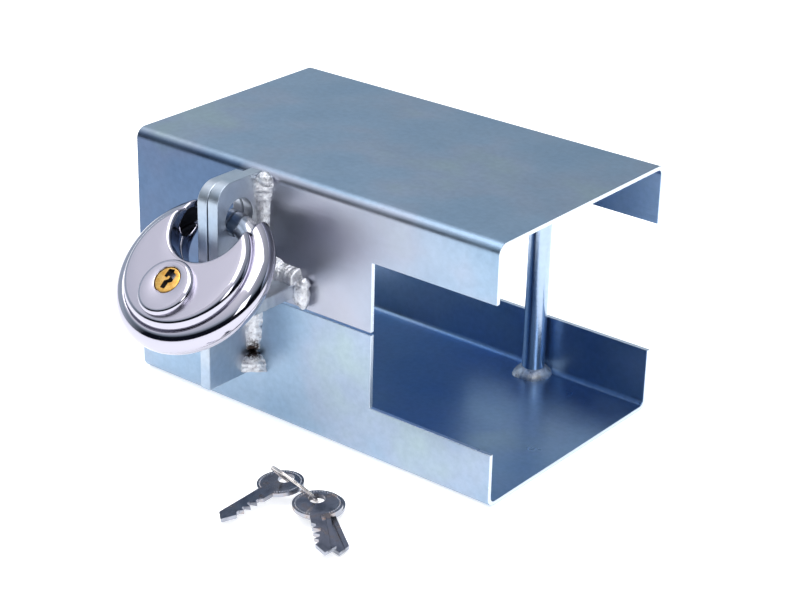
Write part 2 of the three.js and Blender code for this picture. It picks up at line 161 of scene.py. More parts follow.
soft_lamp("top_box", (0.0, -0.25, 1.5), (0, 0, 0), 1.5, 1.1, 16, "#ffffff")
soft_lamp("right_box", (1.15, -0.75, 0.75), (0, 0, 0.05), 0.5, 0.5, 3, "#ffffff")


# The sheet: cold-rolled mild steel with bright blue-passivated zinc on it, plated in a rack.
# It is pale steel blue with violet and green clouds some 45 mm across, a 2.4 mm spangle and a fine
# rolling grain. The upper channel's front carries a painted reflection, laid on by position: a deeper
# blue on the left and mauve in the middle.
def zinc_plate(name, low="#8fa8c0", middle="#96acc2", high="#a1b3bb", violet="#9dacc0", rough=0.34,
               painted_reflection=False):
    material, tree, surface, place = new_material(name)
    clouds = add_node(tree, "TexNoise", {"Scale": 22.0, "Detail": 3.0, "Roughness": 0.5}, Vector=place)
    tint = add_node(tree, "ValToRGB", {"stops": [
        (0.34, low), (0.48, middle), (0.57, violet), (0.70, high)]}, Fac=clouds.outputs["Fac"])
    spangle = add_node(tree, "TexNoise", {"Scale": 420.0, "Detail": 2.0}, Vector=place)
    grey = add_node(tree, "ValToRGB", {"stops": [(0.3, "#dcdcdc"), (0.7, "#ffffff")]},
                    Fac=spangle.outputs["Fac"])
    colour = add_node(tree, "Mix", {"data_type": "RGBA", "blend_type": "MULTIPLY", 0: 0.35},
                      _6=tint.outputs["Color"], _7=grey.outputs["Color"])
    colour = colour.outputs[2]
    # Painted reflection, placed by position on the upper channel's front: a darker blue on the left and a
    # mauve wash in the middle.
    if painted_reflection:
        spot = add_node(tree, "SeparateXYZ", Vector=place).outputs
        left = add_node(tree, "MapRange", {"From Min": -0.026, "From Max": -0.036}, Value=spot["X"])
        face = add_node(tree, "MapRange", {"From Min": -0.0535, "From Max": -0.0552}, Value=spot["Y"])
        patch = add_node(tree, "Math", {"operation": "MULTIPLY"}, _0=left.outputs["Result"],
                         _1=face.outputs["Result"])
        colour = add_node(tree, "Mix", {"data_type": "RGBA", "blend_type": "MULTIPLY", 7: "#99a3b6"},
                          _0=patch.outputs["Value"], _6=colour).outputs[2]
        right_part = add_node(tree, "MapRange", {"From Min": 0.085, "From Max": 0.02, "To Max": 0.75},
                              Value=spot["X"])
        centre = add_node(tree, "MapRange", {"From Min": -0.036, "From Max": -0.026}, Value=spot["X"])
        middle_part = add_node(tree, "Math", {"operation": "MULTIPLY"}, _0=right_part.outputs["Result"],
                               _1=centre.outputs["Result"])
        painted_mauve_mask = add_node(tree, "Math", {"operation": "MULTIPLY"}, _0=middle_part.outputs["Value"],
                         _1=face.outputs["Result"])
        colour = add_node(tree, "Mix", {"data_type": "RGBA", 7: "#aaa9b4"},
                          _0=painted_mauve_mask.outputs["Value"], _6=colour).outputs[2]
    tree.links.new(colour, surface.inputs["Base Color"])
    surface.inputs["Metallic"].default_value = 1.0
    handling = add_node(tree, "TexNoise", {"Scale": 60.0, "Detail": 4.0}, Vector=place)
    polish = add_node(tree, "MapRange", {"To Min": rough - 0.09, "To Max": rough + 0.12},
                      Value=handling.outputs["Fac"])
    tree.links.new(polish.outputs["Result"], surface.inputs["Roughness"])
    rolled = add_node(tree, "Mapping", {"Scale": (60.0, 900.0, 900.0)}, Vector=place)
    grain = add_node(tree, "TexNoise", {"Scale": 1.0, "Detail": 2.0}, Vector=rolled.outputs["Vector"])
    relief = add_node(tree, "Bump", {"Strength": 0.12, "Distance": 0.0003}, Height=grain.outputs["Fac"])
    tree.links.new(relief.outputs["Normal"], surface.inputs["Normal"])
    return material


plated_sheet = zinc_plate("blue zinc plated sheet")
# This copy carries the painted reflection on the upper channel's front.
reflection_painted_sheet = zinc_plate("blue zinc plated sheet with painted reflections", painted_reflection=True)
# Painted shade colour: the inner faces of both channels get a bluer, more saturated copy of the same
# plating.
shade_tinted_inner_sheet = zinc_plate("blue zinc plated sheet, inner side, painted shade tint", "#8aa9cf", "#92afd0", "#9ab3cc", "#94aed0",
                         0.3)
plated_plate = zinc_plate("blue zinc plated plate", "#a6b6c8", "#b6c0cb", "#c2c6ca", "#b4bac6", 0.36)

# The sheared edges get a paler colour than the sheet: a painted highlight, so that they are the brightest
# lines on the box.
highlighted_cut_edge, tree, surface, place = new_material("zinc plated cut edge with painted highlight")
surface.inputs["Metallic"].default_value = 1.0
surface.inputs["Base Color"].default_value = linear("#d3dde8")
shear = add_node(tree, "TexNoise", {"Scale": 700.0}, Vector=place)
edge_polish = add_node(tree, "MapRange", {"To Min": 0.2, "To Max": 0.45}, Value=shear.outputs["Fac"])
tree.links.new(edge_polish.outputs["Result"], surface.inputs["Roughness"])


def new_verts(made):
    return [element for element in made["geom"] if isinstance(element, bmesh.types.BMVert)]


# Every piece is shaped in millimetres and brought to metres as it is made an object.
def make_piece(shape, name, body, slot, stands_for, *materials, crease=35, outwards=True):
    bmesh.ops.scale(shape, vec=(0.001, 0.001, 0.001), verts=shape.verts)
    if outwards:
        bmesh.ops.recalc_face_normals(shape, faces=shape.faces)
        if shape.calc_volume(signed=True) < 0:
            bmesh.ops.reverse_faces(shape, faces=shape.faces)
    mesh = bpy.data.meshes.new(name)
    shape.to_mesh(mesh)
    shape.free()
    for material in materials:
        mesh.materials.append(material)
    mesh.shade_smooth()
    mesh.set_sharp_from_angle(angle=math.radians(crease))
    piece = bpy.data.objects.new(name, mesh)
    bpy.context.collection.objects.link(piece)
    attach(piece, body)
    if stands_for:
        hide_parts(*stands_for)
    return piece


def soften_edges(piece, width, segments=2, angle=35):
    bevel = piece.modifiers.new("edges", "BEVEL")
    bevel.width, bevel.segments, bevel.limit_method = width * 0.001, segments, "ANGLE"
    bevel.angle_limit, bevel.harden_normals = math.radians(angle), True


# The two channels: 2 mm sheet, cut to outline with its window notches and folded twice on a press.
# The upper one is the same fold rolled over, so its deep flange comes down over the front.
box_length, box_width, box_height, sheet, fold = 185.2, 112, 110, 2, 4.5


def cut_faces(shape, faces, spot, normal):
    parts = set(faces) | {e for f in faces for e in f.edges} | {v for f in faces for v in f.verts}
    bmesh.ops.bisect_plane(shape, geom=list(parts), plane_co=spot, plane_no=normal)


# A window is given by its side (-1 front, 1 back) and the lower left corner of what is cut away.
def folded_channel(front, rear, windows):
    shape = bmesh.new()
    corners = [(-box_width / 2, front), (-box_width / 2, 0), (box_width / 2, 0), (box_width / 2, rear)]
    points = [shape.verts.new((-box_length / 2, y, z)) for y, z in corners]
    lines = [shape.edges.new(points[i:i + 2]) for i in range(3)]
    drawn = new_verts(bmesh.ops.extrude_edge_only(shape, edges=lines))
    bmesh.ops.translate(shape, verts=drawn, vec=(box_length, 0, 0))
    folds = [e for e in shape.edges if e.is_manifold]
    bmesh.ops.bevel(shape, geom=folds, offset=fold, segments=10, profile=0.5, affect="EDGES", material=-1)
    for side, from_x, from_z in windows:
        for spot, normal in (((from_x, 0, 0), (1, 0, 0)), ((0, 0, from_z), (0, 0, 1))):
            flange = [f for f in shape.faces if f.calc_center_median().y * side > box_width / 2 - 0.1]
            cut_faces(shape, flange, spot, normal)
        gone = []
        for f in shape.faces:
            middle = f.calc_center_median()
            if middle.y * side > box_width / 2 - 0.1 and middle.x > from_x and middle.z > from_z:
                gone.append(f)
        bmesh.ops.delete(shape, geom=gone, context="FACES")
    bmesh.ops.recalc_face_normals(shape, faces=shape.faces)
    web = max(shape.faces, key=lambda f: f.calc_area())
    if web.normal.z > 0:
        bmesh.ops.reverse_faces(shape, faces=shape.faces)
    return shape


def give_thickness(piece, thickness):
    wall = piece.modifiers.new("thickness", "SOLIDIFY")
    wall.thickness, wall.offset, wall.use_even_offset = thickness * 0.001, -1, True
    wall.material_offset, wall.material_offset_rim = 2, 1


lower = folded_channel(55.1, 83.7, [(-1, 33.5, 23.4), (1, 0, 27.35)])
lower_channel = make_piece(lower, "lower_channel", "lower", "zinc_plate", ["lower_shell"],
                           plated_sheet, highlighted_cut_edge, shade_tinted_inner_sheet, outwards=False)
upper = folded_channel(25.75, 53.9, [(1, 33.5, 24.2)])
roll_over = Matrix.Translation((0, 0, box_height)) @ Matrix.Rotation(math.pi, 4, "X")
bmesh.ops.transform(upper, matrix=roll_over, verts=upper.verts)
upper_channel = make_piece(upper, "upper_channel", "upper", "zinc_plate", ["upper_shell"],
                           reflection_painted_sheet, highlighted_cut_edge, shade_tinted_inner_sheet, outwards=False)
for channel in (lower_channel, upper_channel):
    give_thickness(channel, sheet)
    soften_edges(channel, 0.3)


# The lugs: two hand-ground 5 mm plates with one padlock hole, plated after welding.
# They lie side by side, the left one on the lower channel and the right one on the upper.
lug_thick, lug_seam, lug_gap, lug_out, lug_round = 5.1, -28.1, 0.35, -82, 8.5
hole_y, hole_z, hole_radius = -69.5, 93.6, 7.8


def lug_plate(left, outline):
    shape = bmesh.new()
    points = [shape.verts.new((left, y, z)) for y, z in outline]
    shape.faces.new(points)
    corner = max(points, key=lambda v: v.co.z - v.co.y)
    bmesh.ops.bevel(shape, geom=[corner], offset=lug_round, segments=14, profile=0.5,
                    affect="VERTICES", material=-1)
    bmesh.ops.delete(shape, geom=list(shape.faces), context="FACES_ONLY")
    bore = Matrix.Translation((left, hole_y, hole_z)) @ Matrix.Rotation(math.pi / 2, 4, "Y")
    bmesh.ops.create_circle(shape, segments=56, radius=hole_radius, matrix=bore)
    bmesh.ops.triangle_fill(shape, use_beauty=True, use_dissolve=True, edges=shape.edges)
    thick = new_verts(bmesh.ops.extrude_face_region(shape, geom=list(shape.faces)))
    bmesh.ops.translate(shape, verts=thick, vec=(lug_thick, 0, 0))
    return shape


lower_outline = [(-56.3, 20), (-56.3, 54.8), (-59.4, 54.8), (-59.4, 108.4), (lug_out, 108.4), (lug_out, 20)]
upper_outline = [(-56.3, 62), (-56.3, 109.5), (lug_out, 109.5), (lug_out, 62)]
lower_lug = make_piece(lug_plate(lug_seam - lug_gap - lug_thick, lower_outline), "lower_lug_plate", "lower",
                       "zinc_plate", ["lower_lug"], plated_plate)
upper_lug = make_piece(lug_plate(lug_seam + lug_gap, upper_outline), "upper_lug_plate", "upper",
                       "zinc_plate", ["upper_lug"], plated_plate)
soften_edges(lower_lug, 0.6, 3)
soften_edges(upper_lug, 0.6, 3)


# The gusset: a short piece of the same plate laid flat in the corner to stiffen the upper lug.
# Its free edge was cut with a torch, so it is uneven.
gusset_left, gusset_right, gusset_deep, gusset_thick, gusset_z = -22.3, -2.0, 27.7, 5.5, 64.75
shape = bmesh.new()
bmesh.ops.create_cube(shape, size=1)
bmesh.ops.scale(shape, vec=(gusset_right - gusset_left, gusset_deep, gusset_thick),
                verts=shape.verts)
gusset_middle = ((gusset_left + gusset_right) / 2, -70.15, gusset_z)
bmesh.ops.translate(shape, verts=shape.verts, vec=gusset_middle)
long_edges = [e for e in shape.edges if abs(e.verts[0].co.y - e.verts[1].co.y) > 1]
bmesh.ops.subdivide_edges(shape, edges=long_edges, cuts=24, use_grid_fill=True)
for v in shape.verts:
    if v.co.x > gusset_right - 0.1:
        v.co.x -= 0.9 * abs(noise.noise(Vector((3, v.co.y * 0.6, v.co.z * 0.15))))
gusset = make_piece(shape, "gusset", "upper", "zinc_plate", ["gusset_plate"], plated_plate)
soften_edges(gusset, 0.5, 2)


# The weld beads: hand-laid stick welds, zinc plated with the rest. They are whitish and lumpy,
# with slag pits about 2 mm apart, and dark where the arc was broken off.
def plated_weld(name, scorches=()):
    material, tree, surface, place = new_material(name)
    pits = add_node(tree, "TexNoise", {"Scale": 520.0, "Detail": 4.0, "Roughness": 0.7}, Vector=place)
    colour = add_node(tree, "ValToRGB", {"stops": [
        (0.30, "#67646a"), (0.38, "#bbbbc0"), (0.56, "#d9dbe0"), (0.75, "#f0f2f4")]},
                      Fac=pits.outputs["Fac"])
    shade = colour.outputs["Color"]
    for spot, reach in scorches:
        centre = [c * 0.001 for c in spot]
        away = add_node(tree, "VectorMath", {"operation": "DISTANCE", 1: centre}, _0=place)
        ragged = add_node(tree, "Math", {"operation": "MULTIPLY_ADD", 1: reach * 0.0022},
                          _0=pits.outputs["Fac"], _2=away.outputs["Value"])
        edge = {"From Min": reach * 0.0022, "From Max": reach * 0.0016}
        burnt = add_node(tree, "MapRange", edge, Value=ragged.outputs["Value"])
        shade = add_node(tree, "Mix", {"data_type": "RGBA", 7: "#2b211d"},
                         _0=burnt.outputs["Result"], _6=shade).outputs[2]
    tree.links.new(shade, surface.inputs["Base Color"])
    surface.inputs["Metallic"].default_value = 0.85
    gloss = add_node(tree, "MapRange", {"To Min": 0.5, "To Max": 0.2}, Value=pits.outputs["Fac"])
    tree.links.new(gloss.outputs["Result"], surface.inputs["Roughness"])
    relief = add_node(tree, "Bump", {"Strength": 0.6, "Distance": 0.0008}, Height=pits.outputs["Fac"])
    tree.links.new(relief.outputs["Normal"], surface.inputs["Normal"])
    return material


weld_metal = plated_weld("zinc plated weld")
scorched_weld = plated_weld("scorched weld", [((-25.8, -59, 31), 4.5)])


# A fillet bead is run from start to end in the corner between the directions first and second. Its
# leg lengths are (share of the run, size) pairs, and the two ends are closed to a point.
def weld_bead(shape, start, end, first, second, sizes, seed, ripple=1.9):
    start, end, first, second = Vector(start), Vector(end), Vector(first), Vector(second)
    along = (end - start).normalized()
    to_a_ripple = 6
    steps = max(8, round((end - start).length / ripple * to_a_ripple))
    arc = [(1.0, -0.02), (0.93, 0.28), (0.78, 0.55), (0.55, 0.78), (0.28, 0.93), (-0.02, 1.0)]
    loops = len(arc) + 2
    sheet_of = bmesh.ops.create_grid(shape, x_segments=steps, y_segments=loops - 1, size=1)["verts"]
    order = sorted(sheet_of, key=lambda v: (round(v.co.x, 5), round(v.co.y, 5)))
    for step in range(steps + 1):
        share = step / steps
        place = start + (end - start) * share
        low, high = max(s for s in sizes if s[0] <= share), min(s for s in sizes if s[0] >= share)
        mix = 0 if low == high else (share - low[0]) / (high[0] - low[0])
        swell = 1 - math.cos(2 * math.pi * step / to_a_ripple)
        near_end = min(1, share * steps / 5, (1 - share) * steps / 5)
        closing = 0.35 + 0.65 * math.sin(math.pi / 2 * near_end)
        for number, vert in enumerate(order[step * loops:(step + 1) * loops]):
            if number in (0, loops - 1):
                vert.co = place
                continue
            a, b = arc[number - 1]
            lump = noise.noise(Vector((seed, step * 0.13, number * 0.9)))
            reach = (low[1] + (high[1] - low[1]) * mix) * (1 + 0.009 * swell + 0.11 * lump) * closing
            sag = 0.9 * math.sin(math.pi * (number - 1) / 5)
            vert.co = place + first * a * reach + second * b * reach - along * sag
    bmesh.ops.remove_doubles(shape, verts=sheet_of, dist=0.0005)
    bmesh.ops.holes_fill(shape, edges=[e for e in shape.edges if e.is_boundary], sides=12)


def weld_blob(shape, middle, size, seed):
    made = bmesh.ops.create_icosphere(shape, subdivisions=4, radius=1)["verts"]
    for v in made:
        v.co *= 1 + 0.16 * noise.noise(v.co * 1.6 + Vector((seed, 0, 0))) + 0.06 * noise.noise(v.co * 5)
    bmesh.ops.scale(shape, vec=size, verts=made)
    bmesh.ops.translate(shape, vec=middle, verts=made)


# Down the upper lug's right side, begun with a blob at the top.
upper_corner, lower_corner, front_face = -22.6, -28.4, -box_width / 2
bead = bmesh.new()
weld_bead(bead, (upper_corner, front_face, 108.4), (upper_corner, front_face, 67), (1, 0, 0), (0, -1, 0),
          [(0, 5.2), (0.12, 5.6), (0.3, 4.0), (0.6, 3.5), (1, 4.6)], 1.0)
weld_blob(bead, (-19.6, -58.2, 107.0), (3.6, 2.8, 2.9), 4)
make_piece(bead, "upper_lug_bead", "upper", "weld_bead", ["upper_lug_weld"], weld_metal, crease=50)

# Along the top of the gusset, and wrapped round its free corner.
bead = bmesh.new()
weld_bead(bead, (-17, front_face, 67.4), (-1.6, front_face, 67.4), (0, 0, 1), (0, -1, 0),
          [(0, 7.4), (0.5, 5.4), (1, 5.4)], 2.0)
make_piece(bead, "gusset_bead", "upper", "weld_bead", ["gusset_weld"], weld_metal, crease=50)

bead = bmesh.new()
weld_blob(bead, (0.2, -58.6, 63.6), (3.8, 2.9, 6.2), 7)
weld_blob(bead, (1.2, -58.2, 68.2), (2.6, 2.2, 2.6), 11)
make_piece(bead, "gusset_end_blob", "upper", "weld_bead", ["gusset_weld_end"], weld_metal, crease=50)

# Down the lower lug's right side: a thin run, burnt at its end, and a thick lump below it.
bead = bmesh.new()
weld_bead(bead, (lower_corner, front_face, 54.6), (lower_corner, front_face, 29.2), (1, 0, 0), (0, -1, 0),
          [(0, 5.8), (0.4, 5.2), (0.8, 4.2), (1, 3.6)], 3.0)
make_piece(bead, "lower_lug_bead", "lower", "weld_bead", ["lower_lug_weld"], scorched_weld, crease=50)

bead = bmesh.new()
weld_bead(bead, (lower_corner, front_face, 29.6), (lower_corner, front_face, 20.2), (1, 0, 0), (0, -1, 0),
          [(0, 4.6), (0.5, 7.0), (1, 7.4)], 5.0)
make_piece(bead, "lower_lug_bead_foot", "lower", "weld_bead", ["lower_lug_weld_foot"], scorched_weld,
           crease=50)


# The locking bar: bright drawn 10 mm bar stood on the web just inside the back flange.
# It keeps the coupling from being pulled out, and a lumpy weld ring holds its foot.
bar_x, bar_y, bar_radius, bar_foot, bar_tall = 40.5, 47.2, 4.9, 2.1, 105.3
bright_bar = zinc_plate("blue zinc plated bar", "#a0b6d4", "#adc0d8", "#bcc8d2", "#aabcd4", 0.2)
shape = bmesh.new()
bmesh.ops.create_circle(shape, cap_ends=True, segments=64, radius=bar_radius)
bmesh.ops.translate(shape, verts=shape.verts, vec=(bar_x, bar_y, bar_foot))
tall = new_verts(bmesh.ops.extrude_face_region(shape, geom=list(shape.faces)))
bmesh.ops.translate(shape, verts=tall, vec=(0, 0, bar_tall))
bar = make_piece(shape, "locking_bar_round", "lower", "zinc_plate", ["locking_bar"], bright_bar)
soften_edges(bar, 0.7, 3)

# Its weld ring is one closed section turned round the foot, then made lumpy on the outside and
# held off the back flange.
shape = bmesh.new()
section = [(5.0, 2.0), (8.6, 2.0), (8.4, 3.0), (7.5, 4.2), (6.4, 5.3), (5.4, 6.0), (4.8, 6.1)]
points = [shape.verts.new((bar_x + x, bar_y, z)) for x, z in section]
lines = [shape.edges.new((points[i - 1], points[i])) for i in range(len(points))]
bmesh.ops.spin(shape, geom=lines + points, cent=(bar_x, bar_y, 0), axis=(0, 0, 1), angle=2 * math.pi,
               steps=72, use_merge=True)
for v in shape.verts:
    out = Vector((v.co.x - bar_x, v.co.y - bar_y, 0))
    turn = math.atan2(out.y, out.x)
    lump = noise.noise(Vector((math.cos(turn) * 1.5, math.sin(turn) * 1.5, v.co.z * 0.3)))
    grow = 1 + max(0, out.length - 5.2) / 3.4 * (0.14 * lump - 0.05 + 0.02 * math.sin(turn * 24))
    v.co = Vector((bar_x, bar_y, v.co.z)) + out * grow
    v.co.y = min(v.co.y, box_width / 2 - sheet)
make_piece(shape, "bar_weld_ring", "lower", "weld_bead", ["locking_bar_weld"], weld_metal, crease=60)


# The padlock's two half shells: stainless sheet pressed to a dish, with a U notch let into the rim.
# The flat face is satin, and the raised bead, the groove and the rim are polished to a mirror.
def stainless(name, colour, low, high, scratch):
    material, tree, surface, place = new_material(name)
    surface.inputs["Metallic"].default_value = 1.0
    surface.inputs["Base Color"].default_value = linear(colour)
    marks = add_node(tree, "TexNoise", {"Scale": scratch, "Detail": 4.0, "Roughness": 0.6}, Vector=place)
    polish = add_node(tree, "MapRange", {"To Min": low, "To Max": high}, Value=marks.outputs["Fac"])
    tree.links.new(polish.outputs["Result"], surface.inputs["Roughness"])
    relief = add_node(tree, "Bump", {"Strength": 0.04, "Distance": 0.0002}, Height=marks.outputs["Fac"])
    tree.links.new(relief.outputs["Normal"], surface.inputs["Normal"])
    return material


mirror_steel = stainless("polished stainless steel", "#b6b4c0", 0.04, 0.11, 300.0)
# The inside faces of the shells are unpolished and painted dark grey: painted shade for the closed hollow
# inside the lock.
shade_dark_inside_steel = stainless("unpolished inside of the pressing, painted dark as shade", "#3d404a", 0.5, 0.7, 500.0)
satin_steel = stainless("satin stainless steel", "#bdbac7", 0.26, 0.36, 900.0)

disc_radius, ring_radius, shackle_radius, tilt = 34.5, 26.3, 4.8, math.radians(41)
front_height, back_height, shell_wall = 9.5, 7.8, 1.6
notch_radius, notch_centre = 17, 18.5
flat_radius, groove_radius, rim_top, seam_gap = 25.1, 28.0, 6.1, 0.15
padlock_place = Matrix.Translation((-28.1, -89.349, 74.046)) @ Matrix.Rotation(tilt, 4, "X")


def disc_height(radius, face):
    if radius <= flat_radius:
        return face
    if radius < groove_radius:
        share = (radius - flat_radius) / (groove_radius - flat_radius)
        return rim_top - 0.7 + (face - rim_top + 0.7) * math.sqrt(max(0, 1 - share ** 2))
    share = min(1, (radius - groove_radius) / (disc_radius - groove_radius))
    dip = 0.7 * max(0, 1 - (radius - groove_radius) / 0.7)
    return rim_top * math.sqrt(1 - share ** 2) - dip


# A half shell is laid out in columns of points. Each column starts on the seam in the notch, climbs
# the notch wall, rolls over its edge and runs out over the face, the bead, the groove and the rim.
def pressed_half(face, rolled=1.4):
    tip = math.sqrt(disc_radius ** 2 - notch_radius ** 2)
    rays = []
    for i in range(26):
        v = tip + (notch_centre - tip) * math.sin(i / 25 * math.pi / 2)
        rays.append((Vector((-notch_radius, v)), Vector((-1, 0))))
    for i in range(1, 120):
        angle = math.pi + math.pi * i / 120
        out = Vector((math.cos(angle), math.sin(angle)))
        rays.append((Vector((0, notch_centre)) + out * notch_radius, out))
    rays += [(Vector((-o.x, o.y)), Vector((1, 0))) for o, d in reversed(rays[:26])]
    bead_wide = groove_radius - flat_radius
    bead_radii = [flat_radius + bead_wide * math.sin(i / 12 * math.pi / 2) for i in range(13)]
    rim_radii = [groove_radius + 0.35, groove_radius + 0.7]
    rim_radii += [groove_radius + (disc_radius - groove_radius) * math.sin(i / 22 * math.pi / 2)
                  for i in range(3, 23)]
    roll_steps, wall_steps = 8, 5
    columns = wall_steps + roll_steps + 1 + 3 + len(bead_radii) + len(rim_radii)
    shape = bmesh.new()
    bmesh.ops.create_grid(shape, x_segments=len(rays) - 1, y_segments=columns - 1, size=1)
    order = sorted(shape.verts, key=lambda v: (round(v.co.x, 5), round(v.co.y, 5)))
    for number, (origin, out) in enumerate(rays):
        def reach_to(radius):
            dot = origin.dot(out)
            inside = dot ** 2 - origin.length_squared + radius ** 2
            return -dot + math.sqrt(inside) if inside > 0 else 0

        full = max(0, reach_to(disc_radius))
        outs = [min(full, rolled * (1 - math.cos(i / roll_steps * math.pi / 2)))
                for i in range(roll_steps + 1)]
        flat_end = reach_to(flat_radius)
        for share in (0.25, 0.5, 0.75):
            outs.append(max(outs[roll_steps], outs[roll_steps] + (flat_end - outs[roll_steps]) * share))
        for radius in bead_radii + rim_radii:
            outs.append(min(full, max(outs[-1], reach_to(radius))))
        column = order[number * columns:(number + 1) * columns]
        hole = (shackle_radius + 0.35) ** 2 - (origin.length - ring_radius) ** 2
        foot = max(seam_gap, math.sqrt(hole) if hole > 0 else 0)
        for i, vert in enumerate(column):
            if i < wall_steps:
                top = max(foot, disc_height(origin.length, face) - rolled)
                spot, z = origin, foot + (top - foot) * i / wall_steps
            else:
                away = outs[i - wall_steps]
                spot = origin + out * away
                z = disc_height(spot.length, face)
                if away < rolled:
                    z -= rolled - math.sqrt(max(0, rolled ** 2 - (rolled - away) ** 2))
                z = max(foot if away == 0 else seam_gap, z)
            vert.co = (spot.x, spot.y, z)
    bmesh.ops.remove_doubles(shape, verts=shape.verts, dist=0.004)
    bmesh.ops.dissolve_degenerate(shape, edges=shape.edges, dist=0.002)
    bmesh.ops.recalc_face_normals(shape, faces=shape.faces)
    big = max(shape.faces, key=lambda f: f.calc_area())
    if big.normal.z < 0:
        bmesh.ops.reverse_faces(shape, faces=shape.faces)
    for f in shape.faces:
        f.material_index = 1 if f.normal.z > 0.9995 and f.calc_center_median().z > face - 0.05 else 0
    return shape


shape = pressed_half(front_height)
bmesh.ops.transform(shape, matrix=padlock_place, verts=shape.verts)
front_shell = make_piece(shape, "padlock_front", "padlock", "polished_stainless", ["padlock_front_shell"],
                         mirror_steel, satin_steel, shade_dark_inside_steel, crease=60, outwards=False)
shape = pressed_half(back_height)
half_turn = Matrix.Rotation(math.pi, 4, "Y")
bmesh.ops.transform(shape, matrix=padlock_place @ half_turn, verts=shape.verts)
back_shell = make_piece(shape, "padlock_back", "padlock", "polished_stainless", ["padlock_back_shell"],
                        mirror_steel, satin_steel, shade_dark_inside_steel, crease=60, outwards=False)
for half in (front_shell, back_shell):
    wall = half.modifiers.new("thickness", "SOLIDIFY")
    wall.thickness, wall.offset, wall.use_even_offset = shell_wall * 0.001, -1, False
    wall.material_offset = 2


# The keyway guard: a turned stainless boss let into the face round the plug, so that it can't be
# drilled. It has a satin top and a polished rounded side.
guard_radius, guard_foot, guard_rise = 12.2, 9.55, 2.85
guard_centre, plug_centre, plug_bore = Vector((0, -12.2, 0)), Vector((0, -9.5, 0)), 5.8


def far_edges(shape, centre, least, most):
    """Edges of the raised face whose ends lie between two distances from an upright axis."""
    chosen = []
    for e in shape.edges:
        if all(v.co.z > 12 and least < (v.co.xy - centre.xy).length < most for v in e.verts):
            chosen.append(e)
    return chosen


shape = bmesh.new()
bmesh.ops.create_circle(shape, segments=112, radius=guard_radius, matrix=Matrix.Translation(guard_centre))
bmesh.ops.create_circle(shape, segments=56, radius=plug_bore, matrix=Matrix.Translation(plug_centre))
bmesh.ops.triangle_fill(shape, use_beauty=True, use_dissolve=False, edges=shape.edges)
bmesh.ops.translate(shape, verts=shape.verts, vec=(0, 0, guard_foot))
raised = new_verts(bmesh.ops.extrude_face_region(shape, geom=list(shape.faces)))
bmesh.ops.translate(shape, verts=raised, vec=(0, 0, guard_rise))
lip = far_edges(shape, guard_centre, guard_radius - 0.1, disc_radius)
bmesh.ops.bevel(shape, geom=lip, offset=1.9, segments=8, profile=0.5, affect="EDGES", material=-1)
mouth = far_edges(shape, plug_centre, 0, plug_bore + 0.1)
bmesh.ops.bevel(shape, geom=mouth, offset=0.35, segments=3, profile=0.5, affect="EDGES", material=-1)
bmesh.ops.recalc_face_normals(shape, faces=shape.faces)
for f in shape.faces:
    f.material_index = 1 if f.normal.z > 0.999 and f.calc_center_median().z > 12.3 else 0
bmesh.ops.transform(shape, matrix=padlock_place, verts=shape.verts)
make_piece(shape, "keyway_boss", "padlock", "polished_stainless", ["keyway_guard"], mirror_steel,
           satin_steel, crease=30)


# The plug: turned brass, a clear gold against the steel, with a crooked keyway broached into it.
# The walls of the keyway are painted near-black: painted shade for the deep slot.
plug_radius, plug_foot, plug_long, tail_radius = 5.5, -3.4, 15.6, 2.2
brass, tree, surface, place = new_material("turned brass")
surface.inputs["Metallic"].default_value = 1.0
centred = add_node(tree, "Mapping", {"vector_type": "POINT", "Rotation": (-tilt, 0, 0)}, Vector=place)
stain = add_node(tree, "TexNoise", {"Scale": 500.0, "Detail": 3.0}, Vector=place)
gold = add_node(tree, "ValToRGB", {"stops": [(0.35, "#d9a04a"), (0.65, "#efc272")]},
                Fac=stain.outputs["Fac"])
tree.links.new(gold.outputs["Color"], surface.inputs["Base Color"])
tooling = add_node(tree, "TexNoise", {"Scale": 2600.0, "Detail": 1.0}, Vector=centred.outputs["Vector"])
turned_mark = add_node(tree, "MapRange", {"To Min": 0.22, "To Max": 0.38}, Value=tooling.outputs["Fac"])
tree.links.new(turned_mark.outputs["Result"], surface.inputs["Roughness"])

# Painted shade: the keyway walls are a dark brown-black so that the deep slot reads dark.
shade_painted_keyway, tree, surface, place = new_material("keyway walls with painted shade")
surface.inputs["Base Color"].default_value = linear("#1d140c")
keyway_noise = add_node(tree, "TexNoise", {"Scale": 900.0}, Vector=place)
keyway_roughness = add_node(tree, "MapRange", {"To Min": 0.4, "To Max": 0.7}, Value=keyway_noise.outputs["Fac"])
tree.links.new(keyway_roughness.outputs["Result"], surface.inputs["Roughness"])

shape = bmesh.new()
bmesh.ops.create_circle(shape, segments=64, radius=plug_radius, matrix=Matrix.Translation(plug_centre))
keyway = [(-1.9, 4.5), (0.7, 4.8), (1.1, 3.6), (2.7, 3.0), (2.6, -0.3), (1.2, -1.1), (1.0, -3.8),
          (-1.2, -3.9), (-1.2, -0.7), (0.4, 0.4), (0.5, 1.5), (-0.5, 1.7), (-0.8, 0.8), (-2.3, 0.9),
          (-2.2, 2.9)]
slot_points = [shape.verts.new((x, y + plug_centre.y, 0)) for x, y in keyway]
for i in range(len(slot_points)):
    shape.edges.new((slot_points[i - 1], slot_points[i]))
bmesh.ops.triangle_fill(shape, use_beauty=True, use_dissolve=False, edges=shape.edges)
deep = new_verts(bmesh.ops.extrude_face_region(shape, geom=list(shape.faces)))
bmesh.ops.translate(shape, verts=deep, vec=(0, 0, plug_long))
bmesh.ops.translate(shape, verts=shape.verts, vec=(0, 0, plug_foot))
rim = far_edges(shape, plug_centre, plug_radius - 0.1, disc_radius)
bmesh.ops.bevel(shape, geom=rim, offset=0.35, segments=3, profile=0.5, affect="EDGES", material=-1)
